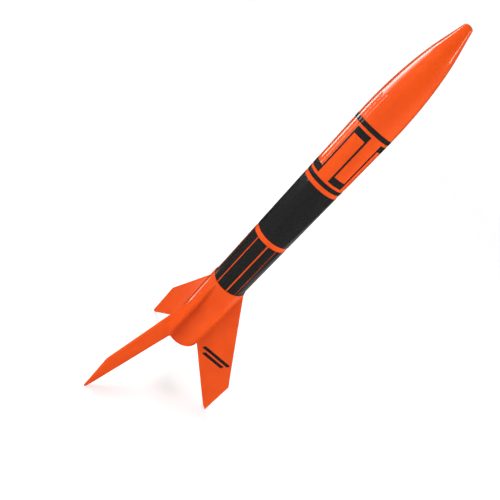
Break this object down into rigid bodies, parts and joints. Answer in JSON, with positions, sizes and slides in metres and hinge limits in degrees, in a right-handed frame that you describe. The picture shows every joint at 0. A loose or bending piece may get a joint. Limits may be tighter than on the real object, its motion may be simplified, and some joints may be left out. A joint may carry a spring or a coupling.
{
  "type": "model rocket",
  "caption": "Small flying model rocket: pull-off nose, decorated paper tube, moulded fin unit, hooked engine mount, replaceable engine and packed parachute.",
  "frame": {"origin": "on the body tube's axis, in the plane of the three fin feet that the rocket stands on", "axes": "+Z along the tube towards the nose, -Y through the near fin, +Y through the engine hook and the side with the launch lug"},
  "size_m": [0.0968, 0.0837, 0.3113],
  "materials": {
    "orange_plastic": "glossy moulded orange plastic",
    "orange_tube": "smooth orange coated paper, spiral wound",
    "black_decal": "satin black self-adhesive vinyl",
    "kraft_paper": "plain kraft paper",
    "white_paper": "matte white fibre card",
    "green_paper": "matte dyed card",
    "engine_paper": "tightly wound brown paper",
    "clay": "pressed grey clay",
    "black_powder": "pressed black grain",
    "delay_mix": "pressed grey grain",
    "spring_steel": "bright spring steel",
    "elastic": "woven white elastic",
    "canopy_film": "thin orange plastic film",
    "thread": "twisted white thread",
    "wadding": "soft crumpled flame-proof tissue"
  },
  "bodies": {
    "airframe": {"body_tube": "orange_tube", "fin_unit": "orange_plastic", "launch_lug": "orange_tube", "decal_top_ring": "black_decal", "decal_key_pattern": "black_decal", "decal_thin_ring": "black_decal", "decal_wide_band": "black_decal", "decal_panels": "black_decal", "decal_fin_upper": "black_decal", "decal_fin_lower": "black_decal", "engine_tube": "kraft_paper", "centering_ring_front": "white_paper", "centering_ring_rear": "white_paper", "thrust_ring": "green_paper", "hook_retainer_band": "kraft_paper", "shock_cord_mount": "white_paper", "shock_cord": "elastic", "wadding_sheet_1": "wadding", "wadding_sheet_2": "wadding", "wadding_sheet_3": "wadding", "engine_case": "engine_paper", "engine_nozzle": "clay", "propellant_grain": "black_powder", "delay_charge": "delay_mix", "ejection_charge": "black_powder", "engine_cap": "clay"},
    "nose": {"nose_cone": "orange_plastic", "nose_base_plug": "orange_plastic", "parachute_canopy": "canopy_film", "shroud_lines": "thread"},
    "hook": {"engine_hook": "spring_steel"}
  },
  "joints": [
    {"name": "nose_slide", "type": "slide", "parent": "airframe", "child": "nose", "axis": [0, 0, 1], "range_m": [0, 0.06], "deforming": ["shock_cord"]},
    {"name": "hook_flex", "type": "hinge", "parent": "airframe", "child": "hook", "pos_m": [0, 0.00965, 0.1134], "axis": [1, 0, 0], "range_deg": [0, 1.5], "stiffness_Nm_per_rad": 2}
  ]
}
